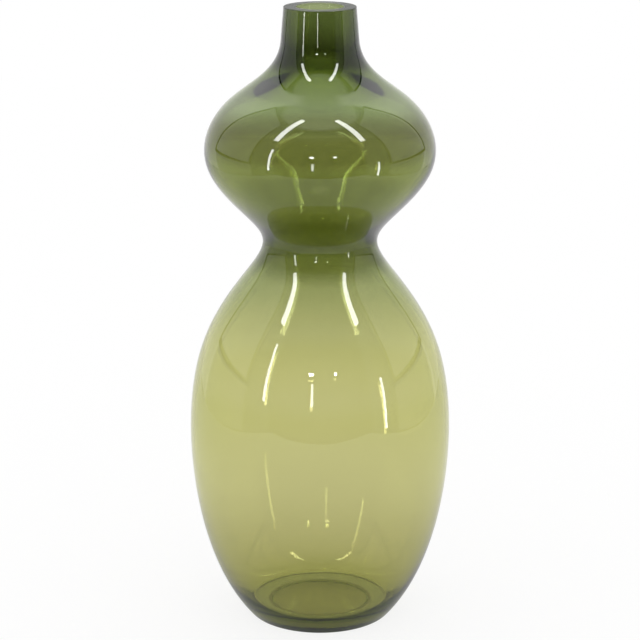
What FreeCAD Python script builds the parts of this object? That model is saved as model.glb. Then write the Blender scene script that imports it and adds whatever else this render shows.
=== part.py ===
"""Double gourd vase of cased glass, free blown, with a cold-ground rim and underside.

Lengths are in millimetres. +Z is up and the origin is on the axis, where the base stands.
The glass is two layers that were gathered one over the other and blown together: a thick
olive casing outside, and a green layer inside that lines it from rim to floor. The green
layer is thickest in the neck and the upper bulb and thins out below the waist, so the vase
fades from green at the top to pale olive at the bottom.
"""
import FreeCAD, Part
import os
import Sketcher

# Driving sizes
SIZES = {
    "belly_rise": 160.0,
    "waist_rise": 154.0,
    "bulb_rise": 73.0,
    "neck_rise": 113.0,
    "rim_radius": 28.4,
    "neck_radius": 30.6,
    "neck_length": 26.0,
    "bulb_radius": 91.2,
    "waist_radius": 45.6,
    "belly_radius": 105.3,
    "foot_radius": 58.6,
    "bore_radius": 18.5,
    "bore_length": 38.0,
    "base_casing": 5.0,
    "base_lining": 0.35,
    "belly_casing": 3.35,
    "belly_lining": 0.35,
    "waist_casing": 6.4,
    "waist_lining": 1.4,
    "bulb_casing": 2.9,
    "bulb_lining": 1.8,
    "neck_lining": 2.2,
    "punt_radius": 40.5,
    "punt_depth": 2.0,
    "punt_step": 1.3,
    "punt_step_width": 0.9,
    "heel_round": 2.4,
    "rim_round": 0.8,
    "overrun": 5.0,
}

# The vase's height is four rises, one on the other: from the foot up to the belly's widest
# place, on to the waist, on to the bulb's widest place, and on to the rim.
RISES = ("belly_rise", "waist_rise", "bulb_rise", "neck_rise")

# The outline's control points, from the heel up to where the neck begins to sweep out.
# Each row: the point, the radius that it follows and its share of that radius, the rise that
# it lies in and its share of the way up, and the wall that it belongs to, with the shares of
# that wall's thickness that the inner surfaces stand inwards and upwards.
OUTLINE_SHARES = (
    ("heel", "belly_radius", 0.778, "belly_rise", 0.162, "belly", 0.95, 0.60),
    ("side", "belly_radius", 1.032, "belly_rise", 0.650, "belly", 1.18, 0.25),
    ("shoulder", "belly_radius", 1.004, "waist_rise", 0.492, "belly", 1.05, -0.35),
    ("throat", "waist_radius", 0.945, "waist_rise", 0.929, "waist", 1.00, -0.33),
    ("collar", "waist_radius", 0.945, "bulb_rise", 0.149, "waist", 1.00, 0.20),
    ("bulb", "bulb_radius", 1.122, "bulb_rise", 0.792, "bulb", 1.08, 0.35),
    ("crown", "bulb_radius", 0.887, "neck_rise", 0.388, "bulb", 0.50, -0.80),
)
NECK_ROOT_SHARE = 0.55
ROOT_DROP_SHARE = 1.00

# Inside, the floor stays level out to a share of the foot's radius, and turns up into the wall
# round a corner point, which has a share of that radius and rises by a share of the floor
FLOOR_SHARE = 0.75
CORNER_SHARE = 1.04
CORNER_RISE_SHARE = 0.24

# The curves' degree, weight and knots, and a sketch's own indices for its axes and points
DEGREE = 3
EVEN_WEIGHT = 1.0
SINGLE_KNOT_COUNT = 1
CONTROL_POINT = "InternalAlignment:Sketcher::BSplineControlPoint"
ORIGIN_INDEX = -1
UP_AXIS_INDEX = -2
START_INDEX = 1
END_INDEX = 2
CENTRE_INDEX = 3

doc = FreeCAD.newDocument("DoubleGourdVase")
sheet = doc.addObject("Spreadsheet::Sheet", "Sizes")
for row, (name, size) in enumerate(SIZES.items(), start=1):
    sheet.set(f"A{row}", name)
    sheet.set(f"B{row}", str(size))
    sheet.setAlias(f"B{row}", name)
doc.recompute()


# A length is a list of terms, each a share of one named size
def amount(terms):
    """The length in millimetres: the sum of share times size."""
    return sum(share * SIZES[name] for share, name in terms)


def formula(terms):
    """The same length as an expression on the sheet's cells."""
    return " + ".join(f"{share} * Sizes.{name}" for share, name in terms) or "0"


def level(rise, share):
    """The height that lies a share of the way up one rise, above all the rises below it."""
    below = RISES[:RISES.index(rise)]
    return [(1.0, name) for name in below] + [(share, rise)]


def wall_terms(wall, layers, share):
    """A share of the glass between the outside and a surface that lies under these layers."""
    return [(share, f"{wall}_{layer}") for layer in layers]


TOP = level("neck_rise", 1.0)


# Sketch helpers
def new_body(name, label):
    body = doc.addObject("PartDesign::Body", name)
    body.Label = label
    return body


def new_sketch(body, name):
    """A sketch on the body's own XZ plane: its x is the radius and its y is the height."""
    sketch = body.newObject("Sketcher::SketchObject", name)
    plane = next(item for item in body.Origin.OriginFeatures if item.Role == "XZ_Plane")
    sketch.AttachmentSupport = [(plane, "")]
    sketch.MapMode = "FlatFace"
    return sketch


def constrain(sketch, *arguments):
    return sketch.addConstraint(Sketcher.Constraint(*arguments))


def join(sketch, one, other):
    """The end of one line or curve meets the start of another."""
    constrain(sketch, "Coincident", one, END_INDEX, other, START_INDEX)


def dimension(sketch, kind, geometry, point, terms, name):
    """A driving distance from the origin to a point, bound to the sheet."""
    index = constrain(sketch, kind, ORIGIN_INDEX, START_INDEX, geometry, point, amount(terms))
    sketch.renameConstraint(index, name)
    sketch.setExpression(f"Constraints.{name}", formula(terms))


def point_at(radius, height):
    return FreeCAD.Vector(amount(radius), amount(height), 0)


def add_line(sketch, start, end):
    return sketch.addGeometry(Part.LineSegment(start, end))


def add_curve(sketch, places):
    """A clamped cubic curve over control points, with even knots.

    It returns the curve's index and those of the circles that mark its control points.
    """
    poles = [point_at(radius, height) for _, radius, height in places]
    spans = len(poles) - DEGREE
    curve = Part.BSplineCurve()
    knots = list(range(spans + 1))
    inner = [SINGLE_KNOT_COUNT for _ in knots[1:-1]]
    ends = [DEGREE + 1]
    curve.buildFromPolesMultsKnots(poles, ends + inner + ends, knots, False, DEGREE)
    index = sketch.addGeometry(curve)
    circles = []
    for order, pole in enumerate(poles):
        mark = Part.Circle(pole, FreeCAD.Vector(0, 0, 1), EVEN_WEIGHT)
        circle = sketch.addGeometry(mark, True)
        constrain(sketch, CONTROL_POINT, circle, CENTRE_INDEX, index, order)
        if circles:
            constrain(sketch, "Equal", circles[0], circle)
        else:
            constrain(sketch, "Weight", circle, EVEN_WEIGHT)
        circles.append(circle)
    sketch.exposeInternalGeometry(index)
    return index, circles


# The gourd's outline
def gourd_points(layers):
    """Control points of the surface that lies under these layers of glass."""
    places = []
    for name, follows, share, rise, way, wall, inward, upward in OUTLINE_SHARES:
        radius = [(share, follows)] + wall_terms(wall, layers, -inward)
        height = level(rise, way) + wall_terms(wall, layers, upward)
        places.append((name, radius, height))
    return places


def draw_gourd(sketch, layers, neck, neck_length, rim, floor):
    """Half of the gourd's section, closed along the axis.

    The curve runs from the foot to the neck, a straight line goes on to the rim, and a
    surface inside the glass starts on the axis, level, instead of at the edge of the foot.
    """
    neck_foot = TOP + [(-1.0, neck_length)]
    root = level("neck_rise", NECK_ROOT_SHARE) + wall_terms("bulb", layers, -ROOT_DROP_SHARE)
    if layers:
        corner = [(CORNER_SHARE, "foot_radius")] + wall_terms("belly", layers, -1.0)
        start = [("middle", [], floor), ("floor", [(FLOOR_SHARE, "foot_radius")], floor),
                 ("corner", corner, floor + [(CORNER_RISE_SHARE, "base_casing")])]
    else:
        start = [("foot", [(1.0, "foot_radius")], floor)]
    places = start + gourd_points(layers)
    places += [("root", neck, root), ("neck", neck, neck_foot)]
    curve, circles = add_curve(sketch, places)

    neck_line = add_line(sketch, point_at(neck, neck_foot), point_at(rim, TOP))
    top_line = add_line(sketch, point_at(rim, TOP), point_at([], TOP))
    axis_line = add_line(sketch, point_at([], TOP), point_at([], floor))
    for one, other in ((curve, neck_line), (neck_line, top_line), (top_line, axis_line)):
        join(sketch, one, other)
    if layers:
        join(sketch, axis_line, curve)
    else:
        floor_line = add_line(sketch, point_at([], floor), point_at([(1.0, "foot_radius")], floor))
        join(sketch, axis_line, floor_line)
        join(sketch, floor_line, curve)
        constrain(sketch, "Horizontal", floor_line)
    constrain(sketch, "PointOnObject", axis_line, START_INDEX, UP_AXIS_INDEX)
    constrain(sketch, "PointOnObject", axis_line, END_INDEX, UP_AXIS_INDEX)
    constrain(sketch, "Horizontal", top_line)
    dimension(sketch, "DistanceX", neck_line, END_INDEX, rim, "rim_radius")
    dimension(sketch, "DistanceY", neck_line, END_INDEX, TOP, "rim_height")

    for (name, radius, height), circle in zip(places, circles):
        if name == "root":
            constrain(sketch, "PointOnObject", circle, CENTRE_INDEX, neck_line)
        elif name != "middle":
            dimension(sketch, "DistanceX", circle, CENTRE_INDEX, radius, f"{name}_radius")
        if name == "foot":
            constrain(sketch, "PointOnObject", circle, CENTRE_INDEX, ORIGIN_INDEX)
        else:
            dimension(sketch, "DistanceY", circle, CENTRE_INDEX, height, f"{name}_height")


def turn(body, kind, sketch, name):
    """A full turn of the sketch about the vase's axis: Revolution adds and Groove cuts."""
    doc.recompute()
    feature = body.newObject(kind, name)
    feature.Profile = sketch
    feature.ReferenceAxis = (sketch, ["V_Axis"])
    feature.Angle = 360
    sketch.Visibility = False
    doc.recompute()
    return feature


def circle_edge(shape, radius, height):
    """The name of the round edge that has this radius and height."""
    near = []
    for index, edge in enumerate(shape.Edges, start=1):
        if not edge.Degenerated and isinstance(edge.Curve, Part.Circle):
            miss = abs(edge.Curve.Radius - radius) + abs(edge.Curve.Center.z - height)
            near.append((miss, f"Edge{index}"))
    return min(near)[1]


def round_edge(body, radius, height, size, name):
    """A fillet along one round edge of the body's last feature."""
    base = body.Tip
    fillet = body.newObject("PartDesign::Fillet", name)
    fillet.Base = (base, [circle_edge(base.Shape, amount(radius), amount(height))])
    fillet.setExpression("Radius", f"Sizes.{size}")
    doc.recompute()
    return fillet


SEAT_BORE = [(1.0, "bore_radius"), (1.0, "neck_lining")]
SEAT_FLOOR = [(1.0, "base_casing")]
BORE = [(1.0, "bore_radius")]
CAVITY_FLOOR = SEAT_FLOOR + [(1.0, "base_lining")]


# Olive casing: the thick outer glass, with the ground rim and the dished underside
def make_casing():
    body = new_body("Casing", "olive_outer_casing")
    outside = new_sketch(body, "OutsideOutline")
    neck = [(1.0, "neck_radius")]
    draw_gourd(outside, [], neck, "neck_length", [(1.0, "rim_radius")], [])
    turn(body, "PartDesign::Revolution", outside, "OutsideForm")

    seat = new_sketch(body, "SeatOutline")
    draw_gourd(seat, ["casing"], SEAT_BORE, "bore_length", SEAT_BORE, SEAT_FLOOR)
    turn(body, "PartDesign::Groove", seat, "LiningSeat")

    punt = new_sketch(body, "PuntOutline")
    draw_punt(punt)
    turn(body, "PartDesign::Groove", punt, "Punt")

    round_edge(body, [(1.0, "foot_radius")], [], "heel_round", "HeelRound")
    round_edge(body, [(1.0, "rim_radius")], TOP, "rim_round", "RimRound")
    return body


def draw_punt(sketch):
    """The dish ground into the underside: a short steep step inside the ring that the vase
    stands on, then a flat arc up to the crest, over a shape that runs below the foot."""
    lip_radius = [(1.0, "punt_radius")]
    arc_radius = lip_radius + [(-1.0, "punt_step_width")]
    step = [(1.0, "punt_step")]
    below = [(-1.0, "overrun")]
    reach = amount(arc_radius)
    depth = SIZES["punt_depth"]
    rise = depth - SIZES["punt_step"]
    bend = (reach ** 2 + rise ** 2) / (2 * rise)
    crest = FreeCAD.Vector(0, depth, 0)
    brim = point_at(arc_radius, step)
    lip = point_at(lip_radius, [])
    circle = Part.Circle(FreeCAD.Vector(0, depth - bend, 0), FreeCAD.Vector(0, 0, 1), bend)
    arc = sketch.addGeometry(Part.ArcOfCircle(circle, circle.parameter(brim), circle.parameter(crest)))
    axis_line = add_line(sketch, crest, point_at([], below))
    under_line = add_line(sketch, point_at([], below), point_at(lip_radius, below))
    side_line = add_line(sketch, point_at(lip_radius, below), lip)
    step_line = add_line(sketch, lip, brim)
    outline = (arc, axis_line, under_line, side_line, step_line)
    for one, other in zip(outline, outline[1:] + outline[:1]):
        join(sketch, one, other)
    constrain(sketch, "PointOnObject", arc, END_INDEX, UP_AXIS_INDEX)
    constrain(sketch, "PointOnObject", arc, CENTRE_INDEX, UP_AXIS_INDEX)
    constrain(sketch, "PointOnObject", step_line, START_INDEX, ORIGIN_INDEX)
    constrain(sketch, "Vertical", axis_line)
    constrain(sketch, "Horizontal", under_line)
    constrain(sketch, "Vertical", side_line)
    dimension(sketch, "DistanceX", step_line, START_INDEX, lip_radius, "punt_radius")
    dimension(sketch, "DistanceX", arc, START_INDEX, arc_radius, "brim_radius")
    dimension(sketch, "DistanceY", arc, START_INDEX, step, "punt_step")
    dimension(sketch, "DistanceY", arc, END_INDEX, [(1.0, "punt_depth")], "punt_depth")
    dimension(sketch, "DistanceY", under_line, START_INDEX, below, "overrun")


# Green inner layer: fused all over to the casing's seat, from the floor up to the rim
def make_lining():
    body = new_body("Lining", "green_inner_layer")
    outside = new_sketch(body, "LiningOutline")
    draw_gourd(outside, ["casing"], SEAT_BORE, "bore_length", SEAT_BORE, SEAT_FLOOR)
    turn(body, "PartDesign::Revolution", outside, "LiningForm")

    cavity = new_sketch(body, "CavityOutline")
    draw_gourd(cavity, ["casing", "lining"], BORE, "bore_length", BORE, CAVITY_FLOOR)
    turn(body, "PartDesign::Groove", cavity, "Cavity")
    round_edge(body, BORE, TOP, "rim_round", "MouthRound")
    return body


def check_document():
    """Stops if any object failed or any piece is not one valid solid."""
    for item in doc.Objects:
        bad = [state for state in item.State if state in ("Invalid", "Error")]
        if bad:
            raise RuntimeError(f"{item.Name} is {bad}")


def write_pieces(bodies):
    os.makedirs("parts", exist_ok=True)
    for body in bodies:
        shape = body.Shape
        if shape.isNull() or not shape.isValid() or len(shape.Solids) != 1:
            raise RuntimeError(f"{body.Label} is not one valid solid")
        box = shape.BoundBox
        print(f"{body.Label}: volume {shape.Volume / 1000:.1f} cm3, width {box.XLength:.2f}, "
              f"from {box.ZMin:.2f} to {box.ZMax:.2f}")
        shape.exportStep(f"parts/{body.Label}.step")


casing = make_casing()
lining = make_lining()
doc.recompute()
check_document()
overlap = casing.Shape.common(lining.Shape).Volume
print(f"Overlap of the two layers: {overlap:.4f} mm3")
write_pieces([casing, lining])
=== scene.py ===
# %% [markdown]
# This lesson dresses a tall double gourd vase of cased glass. The vase is two layers that were
# blown together: a thick olive casing outside, and a green layer that lines it. The packed
# model is loaded first, as a fixed frame, and every size below follows from it.

# %% Load the frame
from math import asin, cos, pi, radians, sin

import bpy
import numpy as np
from mathutils import Matrix, Vector


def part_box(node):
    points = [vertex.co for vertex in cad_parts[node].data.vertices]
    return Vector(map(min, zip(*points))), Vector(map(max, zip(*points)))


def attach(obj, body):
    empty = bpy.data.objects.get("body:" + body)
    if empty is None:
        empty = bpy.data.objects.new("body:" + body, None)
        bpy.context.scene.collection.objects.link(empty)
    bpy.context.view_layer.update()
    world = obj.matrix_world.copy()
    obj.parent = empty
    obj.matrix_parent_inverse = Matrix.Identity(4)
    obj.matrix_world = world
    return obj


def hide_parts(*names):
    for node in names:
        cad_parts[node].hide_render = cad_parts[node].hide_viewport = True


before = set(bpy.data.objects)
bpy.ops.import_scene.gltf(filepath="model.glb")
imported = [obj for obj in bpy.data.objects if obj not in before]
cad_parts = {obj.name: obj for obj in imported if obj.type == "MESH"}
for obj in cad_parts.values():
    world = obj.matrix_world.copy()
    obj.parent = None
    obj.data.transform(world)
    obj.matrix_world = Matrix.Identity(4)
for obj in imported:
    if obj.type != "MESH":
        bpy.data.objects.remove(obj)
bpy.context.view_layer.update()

CASING = "olive_outer_casing"
LAYER = "green_inner_layer"
scene = bpy.context.scene
print("nodes in the frame:", sorted(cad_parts))

# %% [markdown]
# The photograph looks slightly down on the vase from a little under two metres, with a long
# lens. The camera comes first, because everything after it is judged through it.

# %% Camera
CAMERA_PLACE = (0.0, -1.675, 0.7371)
CAMERA_PITCH = radians(16.295)
LENS_MM = 121.96
SENSOR_MM = 36.0

camera_data = bpy.data.cameras.new("Camera")
camera_data.lens = LENS_MM
camera_data.sensor_width = SENSOR_MM
camera = bpy.data.objects.new("Camera", camera_data)
camera.location = CAMERA_PLACE
camera.rotation_euler = (pi / 2 - CAMERA_PITCH, 0.0, 0.0)
scene.collection.objects.link(camera)
scene.camera = camera
print("camera height", CAMERA_PLACE[2])

# %% [markdown]
# A gourd that is blown and swung has no arcs in its outline: one smooth curve flows from the
# foot through both bulbs into the neck. A cubic B-spline draws such a curve with few control
# points. Each point is a share of the vase's reach and of its height, read from the frame.

# %% The outline's control points
far_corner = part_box(CASING)[1]
REACH = far_corner.x
TALL = far_corner.z

# Each row: the point, its share of the reach, its share of the height, the wall that it
# belongs to, and how far the inner surfaces move inwards and upwards, as shares of that wall
OUTLINE_SHARES = (
    ("heel", 0.7782, 0.0518, "belly", 0.95, 0.60),
    ("side", 1.0323, 0.2080, "belly", 1.18, 0.25),
    ("shoulder", 1.0042, 0.4715, "belly", 1.05, -0.35),
    ("throat", 0.4093, 0.6061, "waist", 1.00, -0.33),
    ("collar", 0.4093, 0.6498, "waist", 1.00, 0.20),
    ("bulb", 0.9720, 0.7436, "bulb", 1.08, 0.35),
    ("crown", 0.7684, 0.8617, "bulb", 0.50, -0.80),
    ("root", 0.3106, 0.8983, "bulb", 0.00, -1.00),
)
FOOT_RADIUS = 0.0586
FLOOR_RADIUS = 0.044
CORNER_RADIUS = 0.0609
CORNER_RISE = 0.0012
NECK_RADIUS = 0.0306
RIM_RADIUS = 0.0284
SEAT_BORE = 0.0207
BORE = 0.0185
NECK_LENGTH = 0.026
BORE_LENGTH = 0.038
PUNT_RADIUS = 0.0405
PUNT_DEPTH = 0.0020
PUNT_STEP = 0.0013
PUNT_STEP_WIDTH = 0.0009
HEEL_CUT = 0.0011
RIM_CUT = 0.0008

# The glass in metres, from the outside in: the casing alone, then both layers
CASING_WALL = {"belly": 0.00335, "waist": 0.0064, "bulb": 0.0029, "floor": 0.0050}
LAYER_WALL = {"belly": 0.00035, "waist": 0.0014, "bulb": 0.0018, "floor": 0.00035}
FULL_WALL = {wall: CASING_WALL[wall] + LAYER_WALL[wall] for wall in CASING_WALL}
NO_WALL = dict.fromkeys(CASING_WALL, 0.0)
print(f"reach {REACH:.4f}, height {TALL:.4f}, floor {CASING_WALL['floor']:.4f}")

# %% [markdown]
# The spline is worked out with numpy for all its points at once. The outer surface starts at
# the foot's edge. The two inner ones start on the axis, level, and end in the straight bore.

# %% Curves of the section
DEGREE = 3
CURVE_POINTS = 3000


def spline(places):
    """A clamped cubic B-spline with even knots.

    Every point is the sum of the control points, each times its basis function. These are
    built up one degree at a time: each blends two neighbours of the degree below it, one that
    rises along its span and one that falls.
    """
    places = np.asarray(places, float)
    spans = len(places) - DEGREE
    knots = np.concatenate([np.zeros(DEGREE), np.arange(spans + 1), np.full(DEGREE, spans)])
    at = np.linspace(0.0, spans, CURVE_POINTS)[:, None]
    basis = ((at >= knots[:-1]) & (at < knots[1:])).astype(float)
    basis[-1, spans + DEGREE - 1] = 1.0
    for degree in range(1, DEGREE + 1):
        width = knots[degree:] - knots[:-degree]
        inverse = np.divide(1.0, width, out=np.zeros_like(width), where=width > 0.0)
        rising = (at - knots[:-degree - 1]) * inverse[:-1] * basis[:, :-1]
        falling = (knots[degree + 1:] - at) * inverse[1:] * basis[:, 1:]
        basis = rising + falling
    return basis @ places


def gourd_places(wall):
    """Control points of the surface that lies under these thicknesses of glass."""
    return [(REACH * across - inward * wall[name], TALL * up + upward * wall[name])
            for _, across, up, name, inward, upward in OUTLINE_SHARES]


def outer_curve():
    """The outside: the spline from the foot to the neck, then a straight taper to the rim."""
    places = [(FOOT_RADIUS, 0.0)] + gourd_places(NO_WALL) + [(NECK_RADIUS, TALL - NECK_LENGTH)]
    return np.vstack([spline(places), [(RIM_RADIUS, TALL)]])


def inner_curve(wall, bore):
    """A surface inside the glass: from the axis over the floor, up to the bore and the rim."""
    places = gourd_places(wall)
    places[-1] = (bore, places[-1][1])
    floor = wall["floor"]
    corner = (CORNER_RADIUS - wall["belly"], floor + CORNER_RISE)
    places = [(0.0, floor), (FLOOR_RADIUS, floor), corner] + places + [(bore, TALL - BORE_LENGTH)]
    return np.vstack([spline(places), [(bore, TALL)]])


outside = outer_curve()
seat = inner_curve(CASING_WALL, SEAT_BORE)
cavity = inner_curve(FULL_WALL, BORE)
print(f"widest {outside[:, 0].max():.4f}")

# %% [markdown]
# A section is several runs that meet at corners. Fire and the grinding wheel leave no corner
# sharp, so each one is cut back a little and bridged by a quadratic curve. The rows are then
# spread along the section, closer together where it bends, so that the glass stays smooth.

# %% Sections with rounded corners
ROW_STEP = 0.003
ROW_TURN = radians(5.2)
CORNER_POINTS = 24
STRAIGHT_POINTS = 40
SAME_PLACE = 1e-7


def length_along(path):
    """The distance along a path from its start to each of its points."""
    steps = np.hypot(*np.diff(path, axis=0).T)
    return np.concatenate([[0.0], np.cumsum(steps)])


def point_at(path, distance):
    """The point that lies a distance along a path."""
    along = length_along(path)
    return np.array([np.interp(distance, along, path[:, 0]), np.interp(distance, along, path[:, 1])])


def cut_back(path, start, end):
    """The path without its first and last stretches of these lengths."""
    along = length_along(path)
    inside = (along > start) & (along < along[-1] - end)
    return np.vstack([point_at(path, start), path[inside], point_at(path, along[-1] - end)])


def joined(runs, cuts):
    """The runs in a row, each corner bridged by a quadratic curve that starts and ends where
    the corner is cut back and has the corner as its control point."""
    share = np.linspace(0.0, 1.0, CORNER_POINTS)[1:-1, None]
    starts = [0.0] + list(cuts)
    ends = list(cuts) + [0.0]
    pieces = [cut_back(run, start, end) for run, start, end in zip(runs, starts, ends)]
    path = [pieces[0]]
    for run, piece in zip(runs[1:], pieces[1:]):
        before, corner, after = path[-1][-1], run[0], piece[0]
        bridge = before * (1 - share) ** 2 + corner * 2 * share * (1 - share) + after * share ** 2
        path += [bridge, piece]
    return np.vstack(path)


def spread_rows(path):
    """The path again, with rows that are even in a mix of length and turning angle."""
    along = length_along(path)
    keep = np.concatenate([[True], np.diff(along) > SAME_PLACE])
    path, along = path[keep], along[keep]
    heading = np.unwrap(np.arctan2(*np.diff(path, axis=0).T[::-1]))
    turn = np.concatenate([[0.0], np.cumsum(np.abs(np.diff(heading))), [0.0]])
    turn[-1] = turn[-2]
    measure = along / ROW_STEP + turn / ROW_TURN
    rows = np.linspace(0.0, measure[-1], int(measure[-1]) + 2)
    return np.column_stack([np.interp(rows, measure, path[:, 0]), np.interp(rows, measure, path[:, 1])])


def straight(start, end):
    """A straight run of points from start to end."""
    return np.linspace(start, end, STRAIGHT_POINTS)


# %% [markdown]
# The underside has a shallow dish, the punt, ground so that the vase stands on a clean ring.
# The casing's section goes under the foot, up the outside, over the rim and down its seat.

# %% The casing's and the layer's sections
DISH_POINTS = 60
FUSE_GAP = 0.00002
STEP_CUT = 0.0005


def dish():
    """The punt's section: a flat arc from the crest on the axis to the top of its step."""
    reach = PUNT_RADIUS - PUNT_STEP_WIDTH
    rise = PUNT_DEPTH - PUNT_STEP
    bend = (reach ** 2 + rise ** 2) / (2 * rise)
    angle = np.linspace(0.0, asin(reach / bend), DISH_POINTS)
    return np.column_stack([bend * np.sin(angle), PUNT_DEPTH - bend + bend * np.cos(angle)])


punt = dish()
punt_step = straight(punt[-1], (PUNT_RADIUS, 0.0))
ring = straight((PUNT_RADIUS, 0.0), (FOOT_RADIUS, 0.0))
casing_top = straight((RIM_RADIUS, TALL), (SEAT_BORE, TALL))
casing_skin = spread_rows(joined([punt, punt_step, ring, outside, casing_top],
                                 [STEP_CUT, STEP_CUT, HEEL_CUT, RIM_CUT]))
seat_rows = spread_rows(seat)
layer_top = straight((SEAT_BORE - FUSE_GAP, TALL), (BORE, TALL))
layer_skin = spread_rows(joined([layer_top, cavity[::-1]], [RIM_CUT]))
print("rows:", len(casing_skin), "skin,", len(seat_rows), "seat,", len(layer_skin), "cavity")

# %% [markdown]
# A surface of revolution is a grid: the rows follow the section and the columns go round the
# axis. Blown glass is never quite true, so the surface of the cavity gets slow waves, about a
# tenth of a millimetre deep. They bend the highlights the way a real blown wall does.

# %% Turn a section into a closed piece
COLUMNS = 160
NO_LENGTH = 1e-12


def row_normals(path):
    """The outward normal of each row: the section's direction turned by a right angle."""
    ahead = np.gradient(path, axis=0)
    ahead /= np.maximum(np.hypot(*ahead.T), NO_LENGTH)[:, None]
    return np.column_stack([ahead[:, 1], -ahead[:, 0]])


def revolve(name, path, waves=None, first_wavy=0):
    """A closed mesh from a section that starts and ends on the axis.

    A grid point is the row's radius and height, moved along the row's normal by the waves,
    and carried round the axis: x = r cos(a), y = r sin(a). The first and last rows are
    single points, which close the surface with fans. Rows before first_wavy get no waves.
    """
    angle = np.arange(COLUMNS) * 2 * pi / COLUMNS
    body = path[1:-1]
    radius = np.repeat(body[:, :1], COLUMNS, axis=1)
    height = np.repeat(body[:, 1:], COLUMNS, axis=1)
    if waves is not None:
        depth = waves(angle[None, :], body[:, :1], body[:, 1:])
        depth[:max(first_wavy - 1, 0)] = 0.0
        normal = row_normals(path)[1:-1]
        radius = radius + depth * normal[:, :1]
        height = height + depth * normal[:, 1:]
    grid = np.stack([radius * np.cos(angle), radius * np.sin(angle), height], axis=-1)
    poles = [(0.0, 0.0, path[0, 1]), (0.0, 0.0, path[-1, 1])]
    points = np.vstack([grid.reshape(-1, 3), poles])

    index = np.arange(len(body) * COLUMNS).reshape(len(body), COLUMNS)
    beside = np.roll(index, -1, axis=1)
    quads = np.stack([index[:-1], beside[:-1], beside[1:], index[1:]], axis=-1).reshape(-1, 4)
    start, end = len(points) - 2, len(points) - 1
    first = np.stack([np.full(COLUMNS, start), beside[0], index[0]], axis=-1)
    last = np.stack([np.full(COLUMNS, end), index[-1], beside[-1]], axis=-1)

    mesh = bpy.data.meshes.new(name)
    mesh.from_pydata(points.tolist(), [], quads.tolist() + first.tolist() + last.tolist())
    mesh.polygons.foreach_set("use_smooth", np.ones(len(mesh.polygons), bool))
    mesh.update()
    piece = bpy.data.objects.new(name, mesh)
    scene.collection.objects.link(piece)
    print(name, "has", len(mesh.polygons), "faces")
    return piece


def mark_fused(piece, first, last):
    """A face attribute that is 1 on the faces between two rows, where the layers are one.

    A piece's faces are its bands of quads in order, then the first fan and the last one.
    """
    fused = np.zeros(len(piece.data.polygons), np.float32)
    fused[first * COLUMNS:last * COLUMNS] = 1.0
    fans = len(fused) - 2 * COLUMNS
    fused[fans:fans + COLUMNS] = 1.0 if first == 0 else 0.0
    fused[fans + COLUMNS:] = 1.0 if last * COLUMNS >= fans else 0.0
    attribute = piece.data.attributes.new("fused", "FLOAT", "FACE")
    attribute.data.foreach_set("value", fused)


# %% [markdown]
# The waves are a few sines that turn slowly round the vase and along it. They die out at the
# rim and towards the axis, where a wave would tear the surface.

# %% Waves of the blown wall
WAVE_DEPTH = 0.00006
RIM_FADE = 0.02
AXIS_FADE = 0.03

# Each row: the wave's share of the depth, its turns round the vase, its rate along the height
# in radians for each metre, and its phase
WAVES = (
    (1.00, 3, 21, 0.6),
    (0.70, 5, -38, 2.1),
    (0.35, 8, 96, 0.0),
    (0.25, 2, 150, 1.3),
)


def cavity_waves(angle, radius, height):
    """The depth of the blown surface's waves: a sum of sines of the angle and the height,
    times a fade that is zero at the rim and on the axis."""
    total = sum(share * np.sin(turns * angle + rate * height + phase)
                for share, turns, rate, phase in WAVES)
    fade = np.clip((TALL - height) / RIM_FADE, 0.0, 1.0) * np.clip(radius / AXIS_FADE, 0.0, 1.0)
    return WAVE_DEPTH * fade * total


# %% [markdown]
# The two pieces meet at the seat. They are fused there, so light must cross without seeing a
# surface: those faces are marked, and the glass material lets them vanish. A gap of a fiftieth
# of a millimetre keeps the two sets of faces from lying in one place.

# %% Build the casing and the layer
casing_path = np.vstack([casing_skin, seat_rows[::-1]])
casing = revolve("olive_casing_glass", casing_path)
mark_fused(casing, len(casing_skin) - 1, len(casing_path) - 3)

# The gap moves the seat's ends too, so they are put back on the axis and level with the rim
layer_seat = seat_rows - FUSE_GAP * row_normals(seat_rows)
layer_seat[0, 0] = 0.0
layer_seat[-1] = (SEAT_BORE - FUSE_GAP, TALL)
layer_path = np.vstack([layer_seat, layer_skin[1:]])
layer = revolve("green_layer_glass", layer_path, cavity_waves, len(layer_seat))
mark_fused(layer, 0, len(layer_seat) - 2)

for piece, node in ((casing, CASING), (layer, LAYER)):
    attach(piece, "root")
    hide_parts(node)

# %% [markdown]
# A finish is only worth tuning on the right shape, so the new skin is compared with the
# frame: for each vertex of the CAD casing, how far is it from the section at its height?

# %% Compare with the frame
SKIN_DEPTH = 0.001
FOOT_MARGIN = 0.005
RIM_MARGIN = 0.002
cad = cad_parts[CASING].data
spots = np.empty(len(cad.vertices) * 3)
cad.vertices.foreach_get("co", spots)
spots = spots.reshape(-1, 3)
spot_radius = np.hypot(spots[:, 0], spots[:, 1])
outer = spot_radius > np.interp(spots[:, 2], seat[:, 1], seat[:, 0]) + SKIN_DEPTH
outer &= (spots[:, 2] > FOOT_MARGIN) & (spots[:, 2] < TALL - RIM_MARGIN)
gap = spot_radius[outer] - np.interp(spots[outer, 2], outside[:, 1], outside[:, 0])
print(f"the skin differs from the frame by {1000 * np.abs(gap).max():.3f} mm at most")

# %% [markdown]
# A material is a tree of nodes. A few small helpers add a node and fill its sockets, and build
# the ramps and blends that the glass, the table, the studio and the lamps all need.

# %% Node helpers
ANY_BOUNCE = 0.5
WHITE = (1.0, 1.0, 1.0, 1.0)


def add_node(tree, kind, **settings):
    """A new node of this kind with these settings."""
    node = tree.nodes.new(kind)
    for setting, value in settings.items():
        setattr(node, setting, value)
    return node


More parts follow.
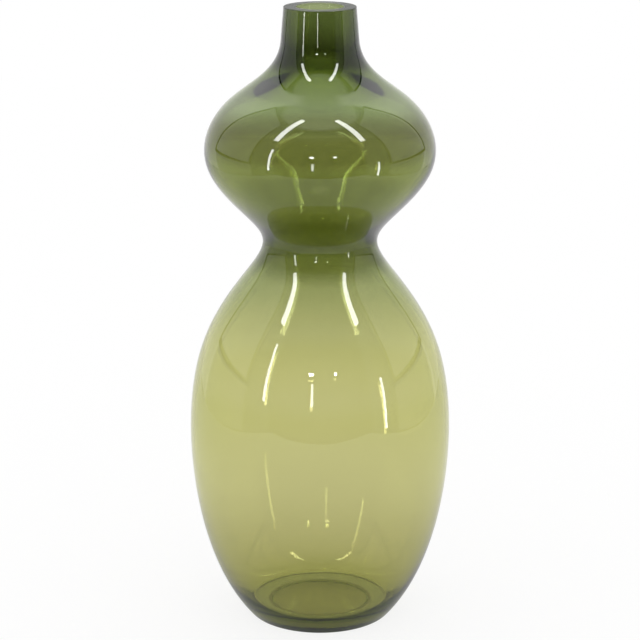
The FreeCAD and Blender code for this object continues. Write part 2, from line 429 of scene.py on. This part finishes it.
def new_group(name, inputs, outputs):
    """A shader group with named sockets: each is (name, kind, default)."""
    group = bpy.data.node_groups.new(name, "ShaderNodeTree")
    for label, kind, default in inputs:
        socket = group.interface.new_socket(label, in_out="INPUT", socket_type=kind)
        socket.default_value = default
    for label, kind in outputs:
        group.interface.new_socket(label, in_out="OUTPUT", socket_type=kind)
    return group, add_node(group, "NodeGroupInput"), add_node(group, "NodeGroupOutput")


def set_or_link(tree, socket, value):
    """The value goes into the socket: another node's output is linked, a number is set."""
    if isinstance(value, bpy.types.NodeSocket):
        tree.links.new(value, socket)
    else:
        socket.default_value = value


def math(tree, operation, first, second=0.0):
    """One math node on one or two values."""
    node = add_node(tree, "ShaderNodeMath", operation=operation)
    set_or_link(tree, node.inputs[0], first)
    set_or_link(tree, node.inputs[1], second)
    return node.outputs[0]


def ramp(tree, value, span, under, over):
    """One value before the span and another after it, with a smooth change between."""
    node = add_node(tree, "ShaderNodeMapRange", interpolation_type="SMOOTHSTEP")
    labels = ("Value", "From Min", "From Max", "To Min", "To Max")
    for label, part in zip(labels, (value, *span, under, over)):
        set_or_link(tree, node.inputs[label], part)
    return node.outputs["Result"]


def choose(tree, share, first, second, kind="FLOAT"):
    """The first value or colour where the share is 0, and the second where it is 1."""
    node = add_node(tree, "ShaderNodeMix", data_type=kind)
    for label, part in (("Factor", share), ("A", first), ("B", second)):
        set_or_link(tree, node.inputs[label], part)
    return node.outputs["Result"]


def object_height(tree):
    """How high the shaded point lies above the table."""
    place = add_node(tree, "ShaderNodeTexCoord")
    split = add_node(tree, "ShaderNodeSeparateXYZ")
    tree.links.new(place.outputs["Object"], split.inputs["Vector"])
    return split.outputs["Z"]


def was_mirrored(tree):
    """1 for a ray that has been reflected on its way, and 0 for one that only went straight."""
    path = add_node(tree, "ShaderNodeLightPath")
    return math(tree, "GREATER_THAN", path.outputs["Glossy Depth"], ANY_BOUNCE)


# %% [markdown]
# The colour has two parts. Every millimetre of a layer absorbs some light, which a plain
# Volume Absorption does: thick places turn dark and green by themselves. The change from
# green at the neck to pale olive below the waist is a tint on the outer skin, in ten zones
# from the foot up. The tint is a node group, because both layers use it with their own
# colours.

# %% Group: tint by height
ZONES = ("Foot", "Belly", "Shoulder", "Throat", "Waist", "Bulb", "Girdle", "Crown", "Root", "Neck")
ZONE_FADES = ((0.0, 0.15), (0.19, 0.215), (0.225, 0.295), (0.287, 0.303), (0.338, 0.356),
              (0.382, 0.396), (0.408, 0.43), (0.449, 0.458), (0.458, 0.494))


def tint_group():
    """Glass tint in ten zones, from the foot up to the neck, each fading into the next."""
    inputs = [(f"{zone} Color", "NodeSocketColor", WHITE) for zone in ZONES]
    for below, above, (low, high) in zip(ZONES, ZONES[1:], ZONE_FADES):
        inputs += [(f"{below} Top", "NodeSocketFloat", low), (f"{above} Bottom", "NodeSocketFloat", high)]
    group, given, result = new_group("HeightTint", inputs, [("Color", "NodeSocketColor")])
    height = object_height(group)
    color = given.outputs[f"{ZONES[0]} Color"]
    for below, above in zip(ZONES, ZONES[1:]):
        fade = (given.outputs[f"{below} Top"], given.outputs[f"{above} Bottom"])
        share = ramp(group, height, fade, 0.0, 1.0)
        color = choose(group, share, color, given.outputs[f"{above} Color"], "RGBA")
    group.links.new(color, result.inputs["Color"])
    return group


height_tint = tint_group()

# %% [markdown]
# Fire-polished glass is almost perfectly smooth. The rim's flat and the ring that the vase
# stands on were ground and only lightly polished, so a second group raises the roughness
# there, with a fine grain.

# %% Group: ground faces
GROUND_EDGE = 0.0004
POLISHED_ROUGHNESS = 0.01
GROUND_ROUGHNESS = 0.9
GRAIN_SCALE = 900.0


def ground_group():
    """Roughness: the polished value, and the ground value on the rim's and the foot's flats."""
    inputs = [("Polished", "NodeSocketFloat", POLISHED_ROUGHNESS),
              ("Ground", "NodeSocketFloat", GROUND_ROUGHNESS),
              ("Grain Scale", "NodeSocketFloat", GRAIN_SCALE)]
    group, given, result = new_group("GroundFaces", inputs, [("Roughness", "NodeSocketFloat")])
    height = object_height(group)
    rim = math(group, "GREATER_THAN", height, TALL - GROUND_EDGE)
    foot = math(group, "LESS_THAN", height, GROUND_EDGE)
    place = add_node(group, "ShaderNodeTexCoord")
    grain = add_node(group, "ShaderNodeTexNoise")
    group.links.new(place.outputs["Object"], grain.inputs["Vector"])
    group.links.new(given.outputs["Grain Scale"], grain.inputs["Scale"])
    uneven = math(group, "MULTIPLY", grain.outputs["Fac"], given.outputs["Ground"])
    roughness = choose(group, math(group, "MAXIMUM", rim, foot), given.outputs["Polished"], uneven)
    group.links.new(roughness, result.inputs["Roughness"])
    return group


ground_faces = ground_group()

# %% [markdown]
# The glass itself is a Principled shader with full transmission. Its alpha is 1 minus the
# fused mark, so a ray passes the seat unbent. Each piece has one material only, because the
# renderer pairs the faces where light enters and leaves a volume by their material.

# %% Glass material
GLASS_IOR = 1.5


def glass(name, tints, left, density):
    """Glass with a tint by height, ground flats, vanishing fused faces and absorption.

    The volume's colour is the light that it leaves.
    """
    material = bpy.data.materials.new(name)
    material.use_nodes = True
    tree = material.node_tree
    tree.nodes.clear()
    shader = add_node(tree, "ShaderNodeBsdfPrincipled")
    shader.inputs["IOR"].default_value = GLASS_IOR
    shader.inputs["Transmission Weight"].default_value = 1.0
    tint = add_node(tree, "ShaderNodeGroup", node_tree=height_tint)
    for zone, color in tints.items():
        tint.inputs[f"{zone} Color"].default_value = (*color, 1.0)
    tree.links.new(tint.outputs["Color"], shader.inputs["Base Color"])
    ground = add_node(tree, "ShaderNodeGroup", node_tree=ground_faces)
    tree.links.new(ground.outputs["Roughness"], shader.inputs["Roughness"])
    fused = add_node(tree, "ShaderNodeAttribute", attribute_name="fused")
    tree.links.new(math(tree, "SUBTRACT", 1.0, fused.outputs["Fac"]), shader.inputs["Alpha"])
    volume = add_node(tree, "ShaderNodeVolumeAbsorption")
    volume.inputs["Color"].default_value = (*left, 1.0)
    volume.inputs["Density"].default_value = density
    output = add_node(tree, "ShaderNodeOutputMaterial")
    tree.links.new(shader.outputs["BSDF"], output.inputs["Surface"])
    tree.links.new(volume.outputs["Volume"], output.inputs["Volume"])
    return material


OLIVE_TINTS = {
    "Foot": (0.405, 0.368, 0.146),
    "Belly": (0.82, 0.745, 0.505),
    "Shoulder": (0.875, 0.79, 0.68),
    "Throat": (0.475, 0.495, 0.48),
    "Waist": (0.137, 0.155, 0.048),
    "Bulb": (0.355, 0.382, 0.168),
    "Girdle": (0.16, 0.163, 0.06),
    "Crown": (0.375, 0.44, 0.40),
    "Root": (0.045, 0.056, 0.06),
    "Neck": (0.207, 0.24, 0.235),
}
GREEN_TINTS = dict.fromkeys(ZONES, (0.98, 1.0, 0.97))
OLIVE_LEFT = (0.80, 0.84, 0.40)
GREEN_LEFT = (0.32, 0.393, 0.067)
OLIVE_DENSITY = 180.0
GREEN_DENSITY = 60.0
olive = glass("OliveCasingGlass", OLIVE_TINTS, OLIVE_LEFT, OLIVE_DENSITY)
green = glass("GreenLayerGlass", GREEN_TINTS, GREEN_LEFT, GREEN_DENSITY)
casing.data.materials.append(olive)
layer.data.materials.append(green)
print("glass materials:", olive.name, green.name)

# %% [markdown]
# The vase stands on a white table that ends about a metre in front of it. The table glows
# a little by itself, so that it is as white as the backdrop, and still keeps a soft shadow.
# Under the foot little light reaches it, so a round patch of painted shadow there is dim and
# uneven, with painted green light for the green that the glass throws on it. Rays off the glass
# see the table dimmer near the vase, which stands in its own shade, and so do rays that went
# through the glass: that shade is painted into the glow.

# %% Table
TABLE_LEFT = -0.95
TABLE_RIGHT = 0.94
TABLE_FRONT = -1.04
TABLE_BACK = 2.5
TABLE_GLOW = 0.84
TABLE_WHITE = 0.16
# Painted shadow under the foot, green for the light that the glass throws there and uneven in spots
SHADE_COLOR = (0.47, 0.48, 0.31)
SHADE_SPOTS = 80.0
SHADE_UNEVEN = 0.3
SHADE_SPAN = (0.054, 0.0585)
# Painted shade in the glow: dimmer for rays through the glass, and near the vase for rays off it
SHADE_THROUGH_GLASS = 0.85
MIRRORED_SHADE_NEAR = 0.55
MIRRORED_SHADE_FAR = 0.88
MIRRORED_SHADE_SPAN = (0.06, 0.4)


def table_material():
    """White that glows a little, with painted shadow under the foot, and a painted dimmer glow for rays off
    the glass.
    """
    material = bpy.data.materials.new("TableWhite")
    material.use_nodes = True
    tree = material.node_tree
    shader = tree.nodes["Principled BSDF"]
    shader.inputs["Base Color"].default_value = (TABLE_WHITE, TABLE_WHITE, TABLE_WHITE, 1.0)
    shader.inputs["Roughness"].default_value = 1.0
    shader.inputs["Specular IOR Level"].default_value = 0.0

    place = add_node(tree, "ShaderNodeTexCoord")
    length = add_node(tree, "ShaderNodeVectorMath", operation="LENGTH")
    tree.links.new(place.outputs["Object"], length.inputs[0])
    away = length.outputs["Value"]
    noise = add_node(tree, "ShaderNodeTexNoise")
    tree.links.new(place.outputs["Object"], noise.inputs["Vector"])
    noise.inputs["Scale"].default_value = SHADE_SPOTS
    # Painted shadow and painted green light: the glow's colour under the foot
    darkest = (*((1 - SHADE_UNEVEN) * part for part in SHADE_COLOR), 1.0)
    lightest = (*((1 + SHADE_UNEVEN) * part for part in SHADE_COLOR), 1.0)
    shade = choose(tree, noise.outputs["Fac"], darkest, lightest, "RGBA")
    color = choose(tree, ramp(tree, away, SHADE_SPAN, 0.0, 1.0), shade, WHITE, "RGBA")
    tree.links.new(color, shader.inputs["Emission Color"])

    # Painted shade: a weaker glow for rays off the glass and through it
    path = add_node(tree, "ShaderNodeLightPath")
    mirrored = ramp(tree, away, MIRRORED_SHADE_SPAN, TABLE_GLOW * MIRRORED_SHADE_NEAR, TABLE_GLOW * MIRRORED_SHADE_FAR)
    off_glass = choose(tree, was_mirrored(tree), TABLE_GLOW * SHADE_THROUGH_GLASS, mirrored)
    glow = choose(tree, path.outputs["Is Glossy Ray"], TABLE_GLOW, off_glass)
    tree.links.new(glow, shader.inputs["Emission Strength"])
    return material


def make_table():
    """A flat white rectangle under the vase."""
    corners = [(TABLE_LEFT, TABLE_FRONT, 0.0), (TABLE_RIGHT, TABLE_FRONT, 0.0),
               (TABLE_RIGHT, TABLE_BACK, 0.0), (TABLE_LEFT, TABLE_BACK, 0.0)]
    mesh = bpy.data.meshes.new("table")
    mesh.from_pydata(corners, [], [(0, 1, 2, 3)])
    mesh.materials.append(table_material())
    table = bpy.data.objects.new("table", mesh)
    scene.collection.objects.link(table)


make_table()

# %% [markdown]
# Glass is drawn by what it reflects. The studio is white all round, with a dark opening on
# the camera's side, dim flanks and a bright wall high behind the vase. What is seen straight
# through the glass is the white backdrop, so these show only to rays that were mirrored at
# least once. Inside the glass a mirrored ray never finds the room darker than a set shade.

# %% Studio
OPENING_HALF = radians(46.0)
FLANK_HALF = radians(124.0)
OPENING_TOP = radians(66.0)
OPENING_SOFT = radians(2.5)
BACK_RISE = (radians(12.0), radians(46.0))
BACK_FALL = (radians(68.0), radians(80.0))
BACK_GLOW = 2.0
OPENING_SHADE = 0.02
FLANK_SHADE = 0.28
CEILING_SHADE = 0.95
INNER_SHADE = 0.8


def studio_world():
    """White, but for mirrored rays dark in front, dim at the flanks and a little dim above."""
    world = bpy.data.worlds.new("Studio")
    world.use_nodes = True
    tree = world.node_tree
    tree.nodes.clear()

    def step(value, edge, under, over):
        """One number where the value is under the edge and another over it, softly."""
        return ramp(tree, value, (edge - OPENING_SOFT, edge + OPENING_SOFT), under, over)

    place = add_node(tree, "ShaderNodeTexCoord")
    split = add_node(tree, "ShaderNodeSeparateXYZ")
    tree.links.new(place.outputs["Generated"], split.inputs["Vector"])
    toward_camera = math(tree, "MULTIPLY", split.outputs["Y"], -1.0)
    azimuth = math(tree, "ABSOLUTE", math(tree, "ARCTAN2", split.outputs["X"], toward_camera))
    elevation = math(tree, "ARCSINE", split.outputs["Z"])
    front = step(azimuth, OPENING_HALF, OPENING_SHADE, FLANK_SHADE)
    front = step(elevation, OPENING_TOP, front, CEILING_SHADE)
    high = ramp(tree, elevation, BACK_FALL, BACK_GLOW, CEILING_SHADE)
    behind = ramp(tree, elevation, BACK_RISE, 1.0, high)
    mirrored = step(azimuth, FLANK_HALF, front, behind)
    trapped = math(tree, "MAXIMUM", mirrored, INNER_SHADE)
    path = add_node(tree, "ShaderNodeLightPath")
    entered = math(tree, "GREATER_THAN", path.outputs["Transmission Depth"], ANY_BOUNCE)
    off_glass = choose(tree, entered, mirrored, trapped)
    strength = choose(tree, was_mirrored(tree), 1.0, off_glass)
    background = add_node(tree, "ShaderNodeBackground")
    background.inputs["Color"].default_value = WHITE
    tree.links.new(strength, background.inputs["Strength"])
    output = add_node(tree, "ShaderNodeOutputWorld")
    tree.links.new(background.outputs["Background"], output.inputs["Surface"])
    return world


scene.world = studio_world()

# %% [markdown]
# Two tall strip lights stand left and right of the camera, a little under a metre away, and
# two softboxes hang above them. A few small lamps near the camera make the short marks on
# both bulbs. All are placed by azimuth from the camera's side, distance and height. The far
# wall of the vase mirrors the nearest lamps a second time, upside down. The photograph shows
# these second marks faint, so those lamps are dimmer for rays that come from there.

# %% Lamps
def panel(name, azimuth, distance, low, high, width, radiance, lean=0.0):
    """A rectangular lamp that faces the vase, from its low height to its high one.

    The azimuth is in degrees from the camera's side, positive to the right. Lean brings the
    upper edge closer to the axis. The power is radiance times area times pi.
    """
    turn = radians(azimuth)
    outwards = Vector((sin(turn), -cos(turn), 0.0))
    bottom = outwards * distance + Vector((0.0, 0.0, low))
    top = outwards * (distance - lean) + Vector((0.0, 0.0, high))
    data = bpy.data.lights.new(name, "AREA")
    data.shape = "RECTANGLE"
    data.size = width
    data.size_y = (top - bottom).length
    data.energy = radiance * data.size * data.size_y * pi
    lamp = bpy.data.objects.new(name, data)
    scene.collection.objects.link(lamp)
    upright = (top - bottom).normalized()
    across = Vector((cos(turn), sin(turn), 0.0))
    facing = Matrix((across, upright, across.cross(upright))).transposed()
    lamp.matrix_world = Matrix.Translation((bottom + top) / 2) @ facing.to_4x4()
    lamp.visible_camera = False
    lamp.visible_diffuse = False
    return lamp


# Light that the near wall mirrors has crossed two surfaces at most, from the far wall four or more
FAR_WALL_DEPTH = 3.5
FAR_GLINT = 0.3


def dimmer_from_behind(lamp):
    """Let a lamp show more weakly to rays that the far wall of the vase has mirrored."""
    lamp.data.use_nodes = True
    tree = lamp.data.node_tree
    path = add_node(tree, "ShaderNodeLightPath")
    far = math(tree, "GREATER_THAN", path.outputs["Transmission Depth"], FAR_WALL_DEPTH)
    tree.links.new(choose(tree, far, 1.0, FAR_GLINT), tree.nodes["Emission"].inputs["Strength"])


# Each row: name, azimuth, distance, low and high edge, width, radiance, and for some the lean
HIGH_LAMPS = (
    ("softbox_left", -53.0, 1.45, 1.62, 2.75, 0.17, 16.0, 0.85),
    ("softbox_right", 52.0, 1.45, 1.62, 2.75, 0.17, 16.0, 0.85),
    ("far_lamp_left", -8.5, 3.0, 1.45, 1.56, 0.24, 60.0),
    ("far_lamp_right", 15.0, 3.0, 1.45, 1.56, 0.14, 60.0),
)
NEAR_LAMPS = (
    ("strip_left", -48.8, 0.905, 0.26, 0.84, 0.038, 16.0),
    ("strip_right", 56.7, 1.0, 0.055, 0.46, 0.04, 16.0),
    ("tripod_glint", -7.0, 1.15, 0.3, 0.56, 0.045, 12.0),
)
for row in HIGH_LAMPS:
    panel(*row)
for row in NEAR_LAMPS:
    dimmer_from_behind(panel(*row))

# %% [markdown]
# A dim white screen stands on each side. In the bulbs the two screens show as wide pale
# shapes with a thin dark line round them, and the table's edges in shade as two thin lines.
# Both are painted shade: flat black strips that stand for the dark gaps at the screens' edges
# and for the table's shaded edges. They show only to mirrored rays, so that nothing stands in
# the way when the vase is looked at from the side.

# %% Black strips of painted shade
# Painted shade: the colour of the black strips
SHADE_BLACK = (0.015, 0.015, 0.013, 1.0)


def painted_shade_material():
    """Painted shade: matt black in mirrored rays and not there at all in others, so it hides the vase in no
    view.
    """
    material = bpy.data.materials.new("PaintedShadeBlack")
    material.use_nodes = True
    tree = material.node_tree
    shader = tree.nodes["Principled BSDF"]
    shader.inputs["Base Color"].default_value = SHADE_BLACK
    shader.inputs["Roughness"].default_value = 1.0
    shader.inputs["Specular IOR Level"].default_value = 0.0
    unseen = add_node(tree, "ShaderNodeBsdfTransparent")
    mixed = add_node(tree, "ShaderNodeMixShader")
    tree.links.new(was_mirrored(tree), mixed.inputs["Fac"])
    tree.links.new(unseen.outputs["BSDF"], mixed.inputs[1])
    tree.links.new(shader.outputs["BSDF"], mixed.inputs[2])
    tree.links.new(mixed.outputs["Shader"], tree.nodes["Material Output"].inputs["Surface"])
    return material


painted_shade_black = painted_shade_material()


def painted_shade_strips(name, corners, matrix=None):
    """Flat black strips of painted shade, each given by its four corners."""
    points = [corner for strip in corners for corner in strip]
    faces = [tuple(range(4 * order, 4 * order + 4)) for order in range(len(corners))]
    mesh = bpy.data.meshes.new(name)
    mesh.from_pydata(points, [], faces)
    mesh.materials.append(painted_shade_black)
    strips = bpy.data.objects.new(name, mesh)
    scene.collection.objects.link(strips)
    if matrix is not None:
        strips.matrix_world = matrix


# %% [markdown]
# Each screen is a lamp with four of the strips of painted shade just in front of it, for the
# dark gaps at its edges, and a dimmer lamp fills the room between the screen and the table.
# These lamps too show only to mirrored rays, because what is seen straight through the glass
# is the white backdrop.

# %% Side screens, and painted shade at their edges and the table's
SCREEN_AZIMUTHS = {"side_screen_left": -95.0, "side_screen_right": 96.0}
SCREEN_AWAY = 0.95
SCREEN_LOW = 0.35
SCREEN_HIGH = 2.2
SCREEN_WIDTH = 0.95
SCREEN_GLOW = 0.6
SCREEN_FOOT_GLOW = 0.4
# Painted shade: black strips round each screen for the gaps at its edges, and along the table for its shaded
# edges
GAP_SHADE_WIDTH = 0.045
GAP_SHADE_NEARER = 0.01
EDGE_SHADE_WIDTH = 0.025
EDGE_SHADE_BACK = 0.9
EDGE_SHADE_RISE = 0.001


def only_mirrored(lamp):
    """Let a lamp show only to rays that glass has mirrored, and not straight through the vase."""
    lamp.data.use_nodes = True
    tree = lamp.data.node_tree
    tree.links.new(was_mirrored(tree), tree.nodes["Emission"].inputs["Strength"])


def standing_strip(left, right, low, high):
    """The corners of a flat strip that stands in a screen's plane."""
    return [(left, 0.0, low), (right, 0.0, low), (right, 0.0, high), (left, 0.0, high)]


def screen(name, azimuth):
    """A white side screen with black strips of painted shade at its edges, and its dimmer lower part down to
    the table.
    """
    only_mirrored(panel(name, azimuth, SCREEN_AWAY, SCREEN_LOW, SCREEN_HIGH, SCREEN_WIDTH, SCREEN_GLOW))
    only_mirrored(panel(f"{name}_foot", azimuth, SCREEN_AWAY, 0.0, SCREEN_LOW, SCREEN_WIDTH,
                        SCREEN_FOOT_GLOW))
    half = SCREEN_WIDTH / 2
    inner = half - GAP_SHADE_WIDTH
    corners = [standing_strip(-half, half, SCREEN_LOW, SCREEN_LOW + GAP_SHADE_WIDTH),
               standing_strip(-half, half, SCREEN_HIGH - GAP_SHADE_WIDTH, SCREEN_HIGH),
               standing_strip(-half, -inner, SCREEN_LOW, SCREEN_HIGH),
               standing_strip(inner, half, SCREEN_LOW, SCREEN_HIGH)]
    turn = Matrix.Rotation(radians(azimuth), 4, "Z")
    painted_shade_strips(f"{name}_gap_shade", corners, turn @ Matrix.Translation((0.0, GAP_SHADE_NEARER - SCREEN_AWAY, 0.0)))


def edge_shade_corners(x):
    """The corners of the black strip of painted shade that lies along one edge of the table."""
    left, right = x - EDGE_SHADE_WIDTH / 2, x + EDGE_SHADE_WIDTH / 2
    return [(left, TABLE_FRONT, EDGE_SHADE_RISE), (right, TABLE_FRONT, EDGE_SHADE_RISE),
            (right, EDGE_SHADE_BACK, EDGE_SHADE_RISE), (left, EDGE_SHADE_BACK, EDGE_SHADE_RISE)]


for name, azimuth in SCREEN_AZIMUTHS.items():
    screen(name, azimuth)
# Painted shade along the table's two edges
painted_shade_strips("table_edge_shade", [edge_shade_corners(TABLE_LEFT), edge_shade_corners(TABLE_RIGHT)])
print("lamps:", [lamp.name for lamp in bpy.data.lights])

# %% [markdown]
# Light crosses four glass surfaces on its way through the vase and bounces inside the walls,
# so the renderer needs more bounces than it has by default.

# %% Light paths
scene.cycles.max_bounces = 64
scene.cycles.transmission_bounces = 64
scene.cycles.glossy_bounces = 40
scene.cycles.transparent_max_bounces = 128
scene.view_settings.view_transform = "Standard"
